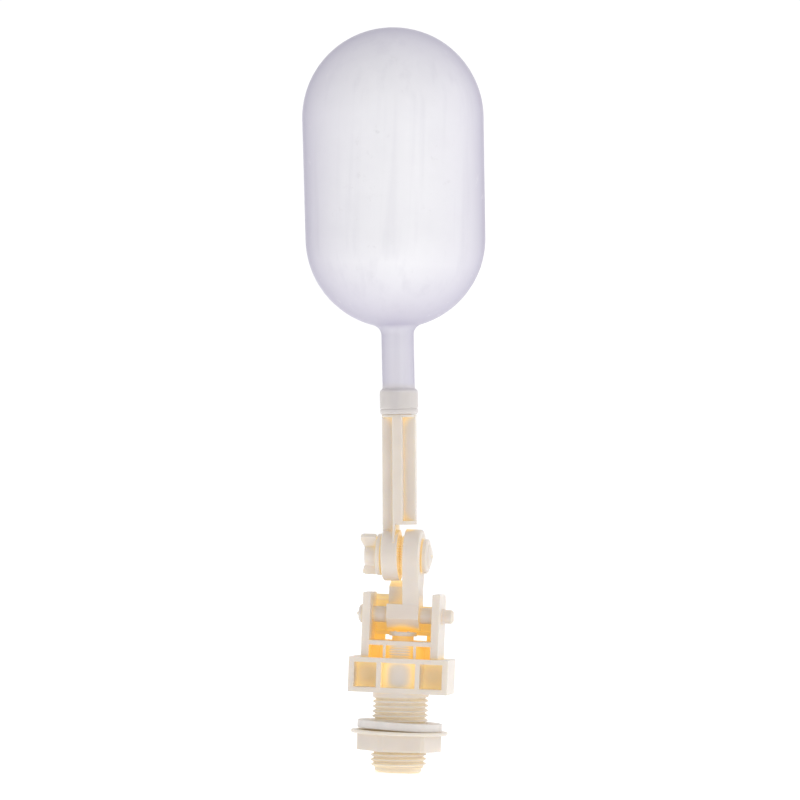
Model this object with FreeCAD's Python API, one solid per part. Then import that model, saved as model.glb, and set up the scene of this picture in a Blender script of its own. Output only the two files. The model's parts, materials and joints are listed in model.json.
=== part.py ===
"""Float valve for a water tank: threaded shank, yoke body, cam lever, clamped arm and hollow float.

Units are millimetres and degrees.  The origin is on the shank's axis, in the underside of the flange
block.  +Z runs along the shank towards the float, +X along the pivot pin and the knuckle bolt, and
-Y is the open side of the yoke.  One STEP file is written per piece.
"""
import FreeCAD
import Part
import math
import os

V = FreeCAD.Vector
X_AXIS, Y_AXIS, Z_AXIS = V(1, 0, 0), V(0, 1, 0), V(0, 0, 1)

# ---- driving dimensions -------------------------------------------------------------------------

# inlet thread, G 1/2
inlet_major_d = 20.955
inlet_pitch = 25.4 / 14
inlet_thread_depth = 1.162
thread_half_angle = 27.5
thread_least_share = 0.1

# shank
shank_length = 29.9
shank_shoulder = 1.3
pilot_relief = 0.565
pilot_length = 1.7
pilot_chamfer = 0.7
inlet_bore_d = 13.0
inlet_bore_top = 8.4

# flange block
block_width = 37.4
block_depth = 21.0
block_height = 13.0
base_plate = 1.9
cover_plate = 1.8
block_side = 2.1
block_rib_x = 7.3
block_rib = 1.75
block_web = 1.8
barrel_d = 16.9

# water chamber and nozzle
cup_bore_d = 13.2
cup_floor_z = 10.3
nozzle_bore_d = 5.2
nozzle_foot_d = 9.0
nozzle_lip_d = 6.4
seat_z = 13.2
groove_pitch = 1.0
groove_depth = 0.25

# yoke
shelf_z = 17.7
shelf_thickness = 1.7
ear_gap = 23.2
ear_thickness = 2.9
ear_front = 8.6
ear_back = 9.4
ear_top = 37.2
ear_corner_r = 3.5
neck_rib_x = 5.7
neck_rib = 1.1
closing_web = 1.2
back_wall = 1.6
back_wall_top = 36.4
notch_x = 5.8
notch_z = 32.2
slot_height = 1.9
slot_half_width = 7.9
ledge_height = 1.3
ledge_depth = 1.2
wall_rib_z = 34.0
wall_rib = 0.8

# pivot pin
pivot_z = 29.0
pin_d = 6.0
pin_head_rim = 0.5
pin_head_length = 2.4
pin_head_dome = 1.0
pin_tail_length = 4.3
pin_tail_d = 5.2
pin_tail_taper = 1.2
pin_tail_edge = 0.7
gate_nib_d = 1.2
gate_nib_length = 0.7

# lever and its cam
lever_block_width = 12.2
lever_block_depth = 9.6
lever_block_rise = 4.1
lever_bar_width = 6.2
cam_drop = 5.9
cam_rate = 2.0
lever_swing = 45.0
cam_points = 9
gusset_width = 6.0
gusset_front = 1.0
gusset_front_top = 39.5
gusset_rear_top = 41.8
gusset_rear_step = 1.7

# knuckle
knuckle_z = 51.3
knuckle_d = 19.8
knuckle_edge = 0.5
arm_cheek = 6.2
arm_cheek_d = 19.0
tooth_count = 44
tooth_inner_d = 8.4
tooth_outer_d = 14.8
tooth_base = 0.35
tooth_height = 0.75
arm_tooth_height = 0.55
tooth_tip_gap = 0.55
tooth_flat = 0.08
tooth_sink = 0.3

# knuckle bolt, thumb washer and wing nut
bolt_d = 6.0
bolt_pitch = 1.0
bolt_thread_depth = 0.61
bolt_end_x = -14.7
bolt_thread_length = 5.9
bolt_tip_relief = 0.12
bolt_head_d = 13.0
bolt_head_height = 2.2
bolt_head_gap = 0.25
bolt_cone_d = 9.0
bolt_cone_height = 1.15
washer_d = 15.6
washer_thickness = 1.8
washer_gap = 0.45
spotface_d = 16.8
wing_hub_wall = 1.3
wing_hub_length = 4.6
wing_thickness = 2.0
wing_span_d = 17.2
wing_reach = 5.95
wing_root = 0.1
wing_edge = 0.5
wing_turn = 34.0

# float arm
arm_offset_x = -2.3
arm_width = 12.5
fin_thickness = 3.7
fin_setback = 1.05
right_fin_foot_z = 62.8
foot_plate = 1.4
head_plate = 1.0
arm_flare_z = 56.2
arm_flare_depth = 8.4
arm_lean = 2.6
spigot_d = 9.3
spigot_length = 20.0
spigot_edge = 0.8

# float
float_foot_z = 104.0
float_lean = 3.45
collar_d = 14.2
collar_length = 9.0
collar_lip_z = 1.6
collar_lip = 0.25
collar_edge = 0.8
neck_d = 12.0
float_lower_d = 67.4
float_upper_d = 68.0
float_lower_z = 170.0
float_upper_z = 215.0
float_wall = 1.2
neck_flare_r = 4.0

# plunger and its rubber disc
stem_d = 8.1
plunger_head_d = 10.4
plunger_head = 1.6
plunger_piston = 4.0
flute_count = 6
flute_d = 3.0
rub_rib_x = 2.45
rub_rib = 0.8
rub_rib_height = 0.25
disc_d = 9.6
disc_thickness = 2.0
disc_proud = 0.4

# tank gasket and flange nut
gasket_outer_d = 31.8
gasket_thickness = 2.9
gasket_tilt = 1.5
gasket_gap = 0.05
nut_top_z = -14.2
nut_flange_d = 36.3
nut_flange = 1.3
nut_across_flats = 28.3
nut_corner_d = 31.6
nut_hex_height = 6.3
nut_turn = 11.3

# small edge break of the turned pieces
small_edge = 0.3

# clearances
pivot_clearance = 0.07
bolt_clearance = 0.3
washer_clearance = 0.1
cam_clearance = 0.05
plunger_clearance = 0.1
gasket_clearance = 0.15
inlet_thread_gap = 0.15
bolt_thread_gap = 0.1
inlet_crest_relief = 0.35
bolt_crest_relief = 0.25

# ---- places that follow from the sizes ----------------------------------------------------------

ear_inner = ear_gap / 2
ear_outer = ear_inner + ear_thickness
wall_inner_y = ear_back - back_wall
lever_left = -lever_block_width / 2
lever_right = lever_block_width / 2
bar_left = lever_right - lever_bar_width
arm_right = bar_left - tooth_base - tooth_height - tooth_tip_gap - arm_tooth_height
arm_left = arm_right - arm_cheek
washer_right = arm_left - washer_gap
hub_right = washer_right - washer_thickness
wing_hub_d = bolt_d + 2 * wing_hub_wall
pin_head_d = pin_d + 2 * pin_head_rim
gasket_inner_d = inlet_major_d + 2 * gasket_clearance
head_left = lever_right + bolt_head_gap
float_seat_gap = collar_d / 2 * math.sin(math.radians(float_lean - arm_lean))
gusset_rear = lever_block_depth / 2 + gusset_rear_step
plunger_top = pivot_z - cam_drop - cam_clearance
thread_bottom = -shank_length + pilot_length


# ---- small helpers ------------------------------------------------------------------------------

def box(xs, ys, zs):
    """Box between two values on each axis."""
    return Part.makeBox(xs[1] - xs[0], ys[1] - ys[0], zs[1] - zs[0], V(xs[0], ys[0], zs[0]))


def rod_x(diameter, x0, x1, z, y=0.0):
    """Cylinder along X."""
    return Part.makeCylinder(diameter / 2, x1 - x0, V(x0, y, z), X_AXIS)


def rod_z(diameter, z0, z1, x=0.0, y=0.0):
    """Cylinder along Z."""
    return Part.makeCylinder(diameter / 2, z1 - z0, V(x, y, z0), Z_AXIS)


def turned(profile, centre=V(0, 0, 0), axis=Z_AXIS):
    """Solid turned about an axis from (radius, height) points, drawn from the axis and back to it."""
    wire = Part.makePolygon([V(r, 0, h) for r, h in profile] + [V(profile[0][0], 0, profile[0][1])])
    solid = Part.Face(wire).revolve(V(0, 0, 0), Z_AXIS, 360)
    solid.Placement = FreeCAD.Placement(centre, FreeCAD.Rotation(Z_AXIS, axis))
    return solid


def plate_x(outline, x0, x1):
    """Flat plate between two X values from (y, z) outline points."""
    wire = Part.makePolygon([V(x0, y, z) for y, z in outline] + [V(x0, *outline[0])])
    return Part.Face(wire).extrude(V(x1 - x0, 0, 0))


def plate_y(outline, y0, y1):
    """Flat plate between two Y values from (x, z) outline points."""
    wire = Part.makePolygon([V(x, y0, z) for x, z in outline] + [V(outline[0][0], y0, outline[0][1])])
    return Part.Face(wire).extrude(V(0, y1 - y0, 0))


def joined(first, *others):
    """One clean solid from overlapping or touching ones."""
    shape = first.fuse(list(others)).removeSplitter()
    return shape.Solids[0] if len(shape.Solids) == 1 else shape


def helical_sweep(section, pitch, z0, z1):
    """Solid swept along a right-hand helix about Z by a section of (radius, height) points."""
    outline = Part.makePolygon([V(r, 0, z0 + h) for r, h in section + section[:1]])
    helix = Part.makeHelix(pitch, z1 - z0, section[0][0])
    helix.translate(V(0, 0, z0))
    return Part.Wire(helix).makePipeShell([outline], True, True)


def threaded(blank, tool):
    """Cut a helical tool into a blank, and refuse a cut that took nothing away."""
    shape = blank.cut(tool)
    if blank.Volume - shape.Volume < tool.Volume * thread_least_share:
        raise ValueError("the thread can't be cut")
    return shape


def thread_groove(major_d, depth, pitch, z0, z1):
    """Groove that leaves an outside thread on a rod, from the thread's start to its run-out."""
    rise = math.tan(math.radians(thread_half_angle))
    half_root = pitch / 4 - depth * rise / 2
    over = depth / 5
    half_mouth = half_root + (depth + over) * rise
    root_r, mouth_r = major_d / 2 - depth, major_d / 2 + over
    section = [(root_r, -half_root), (mouth_r, -half_mouth), (mouth_r, half_mouth), (root_r, half_root)]
    groove = helical_sweep(section, pitch, z0 - pitch / 2, z1)
    return groove.common(rod_z(major_d, z0 - 2 * pitch, z1 + 2 * pitch))


def cut_inside_thread(nut, major_d, depth, pitch, z0, z1, gap, relief):
    """Cut a nut with the same thread, swollen by a gap; relief blunts the nut's own crests."""
    rise = math.tan(math.radians(thread_half_angle))
    minor_r = major_d / 2 - depth + relief
    crest_r = major_d / 2 + gap
    half_crest = pitch / 4 - depth * rise / 2 + gap
    sunk_r = minor_r - depth / 8
    half_foot = half_crest + (crest_r - sunk_r) * rise
    section = [(sunk_r, -half_foot), (crest_r, -half_crest), (crest_r, half_crest), (sunk_r, half_foot)]
    ridge = helical_sweep(section, pitch, z0 - 2 * pitch, z1 + 2 * pitch)
    return threaded(nut, ridge).cut(rod_z(2 * minor_r, z0 - 2 * pitch, z1 + 2 * pitch))


def crown(x_base, direction, height, z):
    """Ring of radial teeth of one height that stands on a cheek, towards +X or -X."""
    half_pitch = math.pi / tooth_count
    teeth = []
    for index in range(tooth_count):
        corners = []
        for radius in (tooth_inner_d / 2, tooth_outer_d / 2):
            half = radius * math.tan(half_pitch) - tooth_flat
            sunk = x_base - direction * tooth_sink
            tip = x_base + direction * height
            corners.append([V(sunk, -half, radius), V(x_base, -half, radius), V(tip, -tooth_flat, radius),
                            V(tip, tooth_flat, radius), V(x_base, half, radius), V(sunk, half, radius)])
        rings = [Part.makePolygon(ring + ring[:1]) for ring in corners]
        tooth = Part.makeLoft(rings, True, True)
        tooth.rotate(V(0, 0, 0), X_AXIS, index * 360 / tooth_count)
        tooth.translate(V(0, 0, z))
        teeth.append(tooth)
    return teeth


# ---- valve body ---------------------------------------------------------------------------------

def shank():
    """Shank blank: chamfered pilot, lead-in and the cylinder that the thread is cut into."""
    major_r = inlet_major_d / 2
    pilot_r = major_r - inlet_thread_depth - pilot_relief
    return turned([(0, -shank_length), (pilot_r - pilot_chamfer, -shank_length),
                   (pilot_r, -shank_length + pilot_chamfer), (pilot_r, thread_bottom),
                   (major_r, thread_bottom + inlet_thread_depth), (major_r, base_plate / 2),
                   (0, base_plate / 2)])


def flange_block():
    """Ribbed block under the yoke: two plates, end frames, ribs and a middle web round the barrel."""
    half_w, half_d = block_width / 2, block_depth / 2
    pieces = [
        box((-half_w, half_w), (-half_d, half_d), (0, base_plate)),
        box((-half_w, half_w), (-half_d, half_d), (block_height - cover_plate, block_height)),
        box((-half_w, half_w), (-block_web / 2, block_web / 2), (0, block_height)),
        rod_z(barrel_d, 0, shelf_z + shelf_thickness),
    ]
    for side in (-1, 1):
        frame_xs = sorted((side * half_w, side * (half_w - block_side)))
        rib_xs = (side * block_rib_x - block_rib / 2, side * block_rib_x + block_rib / 2)
        pieces.append(box(frame_xs, (-half_d, half_d), (0, block_height)))
        pieces.append(box(rib_xs, (-half_d, half_d), (0, block_height)))
    return pieces


def neck():
    """Ribs, closing web and shelf between the block and the yoke's ears."""
    half_d = block_depth / 2
    floor, top = block_height, shelf_z
    pieces = [box((-ear_outer, ear_outer), (-ear_front, ear_back), (top, top + shelf_thickness))]
    for side in (-1, 1):
        xs = (side * neck_rib_x - neck_rib / 2, side * neck_rib_x + neck_rib / 2)
        pieces.append(box(xs, (-ear_front, ear_back), (floor - cover_plate / 2, top)))
        web_xs = sorted((side * (barrel_d / 2 - 1), side * ear_inner))
        pieces.append(box(web_xs, (-closing_web / 2, closing_web / 2), (floor, top)))
    return pieces


def ear(side):
    """One cheek of the yoke, with its rear top corner rounded."""
    outline = [(-ear_front, block_height - cover_plate / 2), (ear_back, block_height - cover_plate / 2),
               (ear_back, ear_top), (-ear_front, ear_top)]
    xs = sorted((side * ear_inner, side * ear_outer))
    cheek = plate_x(outline, *xs)
    corner = [edge for edge in cheek.Edges
              if abs(edge.CenterOfMass.z - ear_top) < 0.01 and abs(edge.CenterOfMass.y - ear_back) < 0.01]
    return cheek.makeFillet(ear_corner_r, corner)


def back_wall_pieces():
    """Wall between the ears behind the lever, with a ledge and a rib on its inner face."""
    xs = (-ear_inner - 0.5, ear_inner + 0.5)
    foot = shelf_z + shelf_thickness / 2
    ledge_z = shelf_z + shelf_thickness + slot_height
    wall = box(xs, (wall_inner_y, ear_back), (foot, back_wall_top))
    ledge = box(xs, (wall_inner_y - ledge_depth, ear_back), (ledge_z, ledge_z + ledge_height))
    rib = box(xs, (wall_inner_y - wall_rib, ear_back), (wall_rib_z, wall_rib_z + wall_rib))
    notch = box((notch_x, ear_inner + 1), (wall_inner_y - ledge_depth, ear_back + 1),
                (notch_z, back_wall_top + 1))
    return [wall.cut(notch), ledge, rib.cut(notch)]


def valve_body():
    """The moulded body: shank, flange block, chamber and yoke in one piece."""
    shape = joined(shank(), *flange_block(), *neck(), ear(-1), ear(1), *back_wall_pieces())
    groove = thread_groove(inlet_major_d, inlet_thread_depth, inlet_pitch, thread_bottom, -shank_shoulder)
    shape = threaded(shape, groove)
    shelf_top = shelf_z + shelf_thickness
    shape = shape.cut(rod_z(inlet_bore_d, -shank_length - 1, inlet_bore_top))
    shape = shape.cut(rod_z(cup_bore_d, cup_floor_z, shelf_top + 1))
    nozzle = turned([(0, cup_floor_z - 0.5), (nozzle_foot_d / 2, cup_floor_z - 0.5),
                     (nozzle_foot_d / 2, cup_floor_z), (nozzle_lip_d / 2, seat_z), (0, seat_z)])
    shape = shape.fuse(nozzle).cut(rod_z(nozzle_bore_d, inlet_bore_top - 1, seat_z + 1))
    slot = box((-slot_half_width, slot_half_width), (cup_bore_d / 2, ear_back + 1),
               (shelf_top, shelf_top + slot_height))
    shape = shape.cut(slot)
    shape = shape.cut(rod_x(pin_d, -ear_outer - 1, ear_outer + 1, pivot_z))
    groove_count = int((shelf_z - block_height) / groove_pitch)
    for index in range(groove_count):
        z = block_height + (index + 0.5) * groove_pitch
        ring = rod_z(barrel_d + 2, z, z + groove_pitch / 2).cut(
            rod_z(barrel_d - 2 * groove_depth, z, z + groove_pitch / 2))
        window = box((-neck_rib_x + neck_rib / 2, neck_rib_x - neck_rib / 2), (-ear_back, ear_back),
                     (z, z + groove_pitch / 2))
        shape = shape.cut(ring.common(window))
    return shape.removeSplitter()


def pivot_pin():
    """Headed pin pressed through both ears; its tail stands out on the right and tapers."""
    left, right = -ear_outer, ear_outer
    head_end, head_r = left - pin_head_length, pin_head_d / 2
    profile = [(0, head_end), (head_r - pin_head_dome, head_end),
               (head_r - 0.3 * pin_head_dome, head_end + 0.45 * pin_head_dome),
               (head_r, head_end + pin_head_dome), (head_r, left), (pin_d / 2, left),
               (pin_d / 2, right), (pin_tail_d / 2, right + pin_tail_taper),
               (pin_tail_d / 2, right + pin_tail_length - pin_tail_edge),
               (pin_tail_d / 2 - pin_tail_edge, right + pin_tail_length), (0, right + pin_tail_length)]
    nib = rod_x(gate_nib_d, head_end - gate_nib_length, head_end + gate_nib_d / 4, pivot_z)
    return joined(turned(profile, V(0, 0, pivot_z), X_AXIS), nib)


# ---- lever --------------------------------------------------------------------------------------

def cam_curve():
    """Cam edge that lets the plunger rise evenly as the lever swings, in (y, z)."""
    points = []
    for index in range(cam_points):
        angle = math.radians(lever_swing) * index / (cam_points - 1)
        reach = cam_drop - cam_rate * angle
        y = -reach * math.sin(angle) + cam_rate * math.cos(angle)
        z = pivot_z - reach * math.cos(angle) - cam_rate * math.sin(angle)
        points.append((y, z))
    return points


def bar_outline(foot_y, foot_z):
    """Bar in (y, z): from its foot up to where its two edges run into the knuckle's round cheek."""
    rise = knuckle_z - foot_z
    reach = math.hypot(foot_y, rise)
    slope = math.atan2(rise, -foot_y) - math.asin(knuckle_d / 2 / reach)
    edge = math.sqrt(reach ** 2 - (knuckle_d / 2) ** 2)
    top_y, top_z = foot_y + edge * math.cos(slope), foot_z + edge * math.sin(slope)
    return [(-foot_y, foot_z), (-top_y, top_z), (top_y, top_z), (foot_y, foot_z)]


def lever():
    """Lever with a cam foot under the pivot and a toothed cheek at the knuckle."""
    half_d = lever_block_depth / 2
    shoulder_z = pivot_z + lever_block_rise
    curve = cam_curve()
    last_y, last_z = curve[-1]
    chamfer_z = last_z + (last_y + half_d) / math.tan(math.radians(lever_swing))
    outline = [(half_d, shoulder_z), (half_d, pivot_z - cam_drop)] + curve
    outline += [(-half_d, chamfer_z), (-half_d, shoulder_z)]
    block = plate_x(outline, lever_left, lever_right)
    bar = plate_x(bar_outline(half_d, shoulder_z), bar_left, lever_right)
    rim = knuckle_d / 2
    cheek = turned([(0, 0), (rim, 0), (rim, lever_bar_width - knuckle_edge),
                    (rim - knuckle_edge, lever_bar_width), (0, lever_bar_width)],
                   V(bar_left, 0, knuckle_z), X_AXIS)
    gusset = plate_x([(gusset_front, pivot_z), (half_d, pivot_z), (half_d, shoulder_z),
                      (gusset_rear, gusset_rear_top), (gusset_front, gusset_front_top)],
                     bar_left - gusset_width, bar_left)
    tooth_ring = rod_x(tooth_outer_d, bar_left - tooth_base, bar_left, knuckle_z).cut(
        rod_x(tooth_inner_d, bar_left - tooth_base, bar_left, knuckle_z))
    shape = joined(block, bar, cheek, gusset, tooth_ring)
    shape = joined(shape, *crown(bar_left - tooth_base, -1, tooth_height, knuckle_z))
    shape = shape.cut(rod_x(pin_d + 2 * pivot_clearance, lever_left - 1, lever_right + 1, pivot_z))
    return shape.cut(rod_x(bolt_d, bar_left - 1, lever_right + 1, knuckle_z))


def knuckle_bolt():
    """Bolt through the knuckle: low coned head on the right, threaded end on the left."""
    head_r, cone_r = bolt_head_d / 2, bolt_cone_d / 2
    head_right = head_left + bolt_head_height
    tip_r = bolt_d / 2 - bolt_thread_depth - bolt_tip_relief
    body = turned([(0, bolt_end_x), (tip_r, bolt_end_x), (bolt_d / 2, bolt_end_x + bolt_d / 2 - tip_r),
                   (bolt_d / 2, head_left), (head_r - small_edge, head_left), (head_r, head_left + small_edge),
                   (head_r, head_right - knuckle_edge), (head_r - knuckle_edge, head_right), (cone_r, head_right),
                   (cone_r - knuckle_edge, head_right + bolt_cone_height / 2),
                   (cone_r / 2, head_right + bolt_cone_height), (0, head_right + bolt_cone_height)])
    groove = thread_groove(bolt_d, bolt_thread_depth, bolt_pitch, bolt_end_x,
                           bolt_end_x + bolt_thread_length)
    body = threaded(body, groove)
    body.Placement = FreeCAD.Placement(V(0, 0, knuckle_z), FreeCAD.Rotation(Z_AXIS, X_AXIS))
    nib_x = head_right + bolt_cone_height
    nib = rod_x(gate_nib_d, nib_x - small_edge, nib_x + gate_nib_length / 2, knuckle_z)
    return joined(body, nib)


# ---- float arm, clamp and float -----------------------------------------------------------------

def leaned(shape):
    """Lean a piece with the slack knuckle, top towards -X."""
    shape.rotate(V(arm_offset_x, 0, knuckle_z), Y_AXIS, -arm_lean)
    return shape


def float_leaned(shape):
    """Lean the float's axis with the arm and a little further, about the head of the arm."""
    shape.rotate(V(arm_offset_x, 0, float_foot_z), Y_AXIS, arm_lean - float_lean)
    return leaned(shape)


def float_arm():
    """Arm with a toothed cheek, a cross-shaped shaft and the spigot that the float sits on."""
    rim, half, fin = arm_cheek_d / 2, arm_width / 2, fin_thickness / 2
    cheek = turned([(0, 0), (rim - knuckle_edge, 0), (rim, knuckle_edge), (rim, arm_cheek),
                    (0, arm_cheek)], V(arm_left, 0, knuckle_z), X_AXIS)
    left, right = arm_offset_x - half, arm_offset_x + half
    foot_z, head_z = right_fin_foot_z, float_foot_z
    fin_right = arm_right - fin_setback
    low_fin = box((arm_left, fin_right), (-fin, fin), (knuckle_z, foot_z))
    side_fins = box((left, right), (-fin, fin), (foot_z, head_z))
    flare = [(-arm_flare_depth, arm_flare_z), (arm_flare_depth, arm_flare_z), (half, foot_z),
             (-half, foot_z)]
    low_cross = plate_x(flare, arm_offset_x - fin, min(arm_offset_x + fin, fin_right))
    cross_fins = box((arm_offset_x - fin, arm_offset_x + fin), (-half, half), (foot_z, head_z))
    foot = rod_z(arm_width, foot_z, foot_z + foot_plate, arm_offset_x)
    foot = foot.common(box((arm_offset_x, right), (-half, half), (foot_z, head_z)))
    head = rod_z(arm_width, head_z - head_plate, head_z, arm_offset_x)
    spigot = turned([(0, head_z - head_plate), (spigot_d / 2, head_z - head_plate),
                     (spigot_d / 2, head_z + spigot_length - spigot_edge),
                     (spigot_d / 2 - spigot_edge, head_z + spigot_length), (0, head_z + spigot_length)],
                    V(arm_offset_x, 0, 0))
    shape = joined(cheek, low_fin, side_fins, low_cross, cross_fins, foot, head)
    shape = joined(shape, *crown(arm_right, 1, arm_tooth_height, knuckle_z))
    spotface = rod_x(spotface_d, left - 5, arm_left, knuckle_z)
    bore = rod_x(bolt_d + 2 * bolt_clearance, arm_left - 1, bar_left, knuckle_z)
    return joined(leaned(shape.cut(spotface).cut(bore)), float_leaned(spigot))


def float_profile(inset):
    """Half outline of the float's body in the XZ plane, drawn in by the wall when inset is above 0."""
    lower_r, upper_r = float_lower_d / 2 - inset, float_upper_d / 2 - inset
    neck_r = neck_d / 2 if inset == 0 else spigot_d / 2
    fillet = neck_flare_r + inset
    # the flare is an arc that touches the neck and the lower dome
    centre_r = neck_r + fillet
    centre_z = float_lower_z - math.sqrt((lower_r + fillet) ** 2 - centre_r ** 2)
    share = lower_r / (lower_r + fillet)
    touch = V(centre_r * share, 0, float_lower_z + (centre_z - float_lower_z) * share)
    start = V(neck_r, 0, centre_z)
    turn = 0.5 * math.atan2(touch.z - centre_z, centre_r - touch.x)
    middle = V(centre_r - fillet * math.cos(turn), 0, centre_z + fillet * math.sin(turn))
    angle = 0.5 * (math.atan2(float_lower_z - touch.z, touch.x))
    dome_mid = V(lower_r * math.cos(angle), 0, float_lower_z - lower_r * math.sin(angle))
    top_mid = V(upper_r * math.sqrt(0.5), 0, float_upper_z + upper_r * math.sqrt(0.5))
    top = V(0, 0, float_upper_z + upper_r)
    return start, [
        Part.Arc(start, middle, touch).toShape(),
        Part.Arc(touch, dome_mid, V(lower_r, 0, float_lower_z)).toShape(),
        Part.makeLine(V(lower_r, 0, float_lower_z), V(upper_r, 0, float_upper_z)),
        Part.Arc(V(upper_r, 0, float_upper_z), top_mid, top).toShape(),
    ], top


def float_shell():
    """Blow-moulded hollow float with a long neck and a collar at the neck's foot."""
    foot, collar_top = float_foot_z, float_foot_z + collar_length
    collar_r, neck_r, inner_r = collar_d / 2, neck_d / 2, spigot_d / 2
    outer_start, outer, top = float_profile(0)
    inner_start, inner, inner_top = float_profile(float_wall)
    lip = foot + collar_lip_z
    collar = [V(inner_r, 0, foot), V(collar_r - collar_edge, 0, foot), V(collar_r, 0, foot + collar_edge),
              V(collar_r, 0, lip), V(collar_r - collar_lip, 0, lip + collar_lip),
              V(collar_r - collar_lip, 0, lip + 2 * collar_lip), V(collar_r, 0, lip + 3 * collar_lip),
              V(collar_r, 0, collar_top - 1.5 * collar_edge),
              V(collar_r - collar_edge / 2, 0, collar_top - collar_edge / 2),
              V(neck_r, 0, collar_top), outer_start]
    edges = [Part.makeLine(a, b) for a, b in zip(collar, collar[1:])] + outer
    edges += [Part.makeLine(top, inner_top)] + inner + [Part.makeLine(inner_start, collar[0])]
    shell = Part.Face(Part.Wire(Part.__sortEdges__(edges))).revolve(V(0, 0, 0), Z_AXIS, 360)
    shell.translate(V(arm_offset_x, 0, float_seat_gap))
    return float_leaned(shell)


def thumb_washer():
    """Round plastic washer under the wing nut."""
    rim = washer_d / 2
    washer = turned([(0, 0), (rim - small_edge, 0), (rim, small_edge), (rim, washer_thickness - small_edge),
                     (rim - small_edge, washer_thickness), (0, washer_thickness)],
                    V(hub_right, 0, knuckle_z), X_AXIS)
    bore_d = bolt_d + 2 * washer_clearance
    return washer.cut(rod_x(bore_d, hub_right - 1, washer_right + 1, knuckle_z))


def wing_nut():
    """Wing nut with two flat wings; its thread is cut by the bolt's own thread with clearance."""
    hub_left = hub_right - wing_hub_length
    hub_r = wing_hub_d / 2
    hub = turned([(0, 0), (hub_r - small_edge, 0), (hub_r, small_edge), (hub_r, wing_hub_length),
                  (0, wing_hub_length)],
                 V(hub_left, 0, 0), X_AXIS)
    tip, reach = wing_span_d / 2, hub_right - wing_reach
    wings = []
    for side in (1, -1):
        root = hub_right - wing_root
        outline = [(root, 0), (root, side * (tip - wing_edge)), (root - wing_edge, side * tip),
                   (reach + 2 * wing_edge, side * tip), (reach, side * (tip - wing_edge)),
                   (reach, side * (tip - 3 * wing_edge)), (hub_left, side * (hub_r - wing_edge)),
                   (hub_left, 0)]
        wings.append(plate_y(outline, -wing_thickness / 2, wing_thickness / 2))
    shape = joined(hub, *wings)
    shape.rotate(V(0, 0, 0), X_AXIS, wing_turn)
    shape.Placement = FreeCAD.Placement(V(0, 0, 0), FreeCAD.Rotation(X_AXIS, Z_AXIS)) * shape.Placement
    shape = cut_inside_thread(shape, bolt_d, bolt_thread_depth, bolt_pitch, bolt_end_x,
                              bolt_end_x + bolt_thread_length, bolt_thread_gap, bolt_crest_relief)
    shape.Placement = FreeCAD.Placement(V(0, 0, knuckle_z), FreeCAD.Rotation(Z_AXIS, X_AXIS))
    return shape


# ---- plunger, seal, gasket and nut --------------------------------------------------------------

def plunger():
    """Fluted piston with a stem, a rubbed head and a recess for the rubber disc."""
    foot = seat_z + disc_proud
    piston_top = foot + plunger_piston
    head_foot = plunger_top - rub_rib_height - plunger_head
    piston_r = cup_bore_d / 2 - plunger_clearance
    shape = turned([(0, foot), (piston_r, foot), (piston_r, piston_top), (stem_d / 2, piston_top),
                    (stem_d / 2, head_foot), (plunger_head_d / 2, head_foot),
                    (plunger_head_d / 2, head_foot + plunger_head - small_edge),
                    (plunger_head_d / 2 - small_edge, head_foot + plunger_head),
                    (0, head_foot + plunger_head)])
    head_top = head_foot + plunger_head
    rib_half = plunger_head_d / 2 - 1.5 * rub_rib
    ribs = [box((side * rub_rib_x - rub_rib / 2, side * rub_rib_x + rub_rib / 2),
                (-rib_half, rib_half), (head_top - small_edge, plunger_top)) for side in (-1, 1)]
    shape = joined(shape, *ribs)
    shape = shape.cut(rod_z(disc_d, foot - 1, seat_z + disc_thickness))
    for index in range(flute_count):
        angle = math.radians((index + 0.5) * 360 / flute_count)
        place = cup_bore_d / 2
        shape = shape.cut(rod_z(flute_d, foot - 1, piston_top + 1, place * math.cos(angle),
                                place * math.sin(angle)))
    return shape


def seal_disc():
    """Rubber disc in the plunger's foot, resting on the nozzle's lip."""
    rim = disc_d / 2
    return turned([(0, seat_z), (rim - small_edge, seat_z), (rim, seat_z + small_edge), (rim, seat_z + disc_thickness),
                   (0, seat_z + disc_thickness)])


def tank_gasket():
    """Rubber gasket that seals the tank wall; it sits a little askew on the nut."""
    half_tilt = gasket_outer_d / 2 * math.sin(math.radians(gasket_tilt))
    bottom = nut_top_z + half_tilt + gasket_gap
    ring = rod_z(gasket_outer_d, bottom, bottom + gasket_thickness).cut(
        rod_z(gasket_inner_d, bottom - 1, bottom + gasket_thickness + 1))
    ring.rotate(V(0, 0, bottom), Y_AXIS, gasket_tilt)
    return ring


def flange_nut():
    """Hexagonal nut with a thin round flange, threaded by the shank's own thread with clearance."""
    flange_foot = nut_top_z - nut_flange
    bottom = flange_foot - nut_hex_height
    corner_r = nut_across_flats / math.sqrt(3)
    corners = [V(corner_r * math.cos(math.radians(60 * k + nut_turn)),
                 corner_r * math.sin(math.radians(60 * k + nut_turn)), bottom) for k in range(7)]
    hexagon = Part.Face(Part.makePolygon(corners)).extrude(V(0, 0, nut_hex_height + 0.01))
    hexagon = hexagon.common(rod_z(nut_corner_d, bottom - 1, nut_top_z))
    flange = turned([(0, flange_foot), (nut_flange_d / 2 - small_edge, flange_foot),
                     (nut_flange_d / 2, flange_foot + small_edge), (nut_flange_d / 2, nut_top_z - small_edge),
                     (nut_flange_d / 2 - small_edge, nut_top_z), (0, nut_top_z)])
    return cut_inside_thread(joined(hexagon, flange), inlet_major_d, inlet_thread_depth, inlet_pitch,
                             thread_bottom, -shank_shoulder, inlet_thread_gap, inlet_crest_relief)


# ---- build --------------------------------------------------------------------------------------

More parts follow.
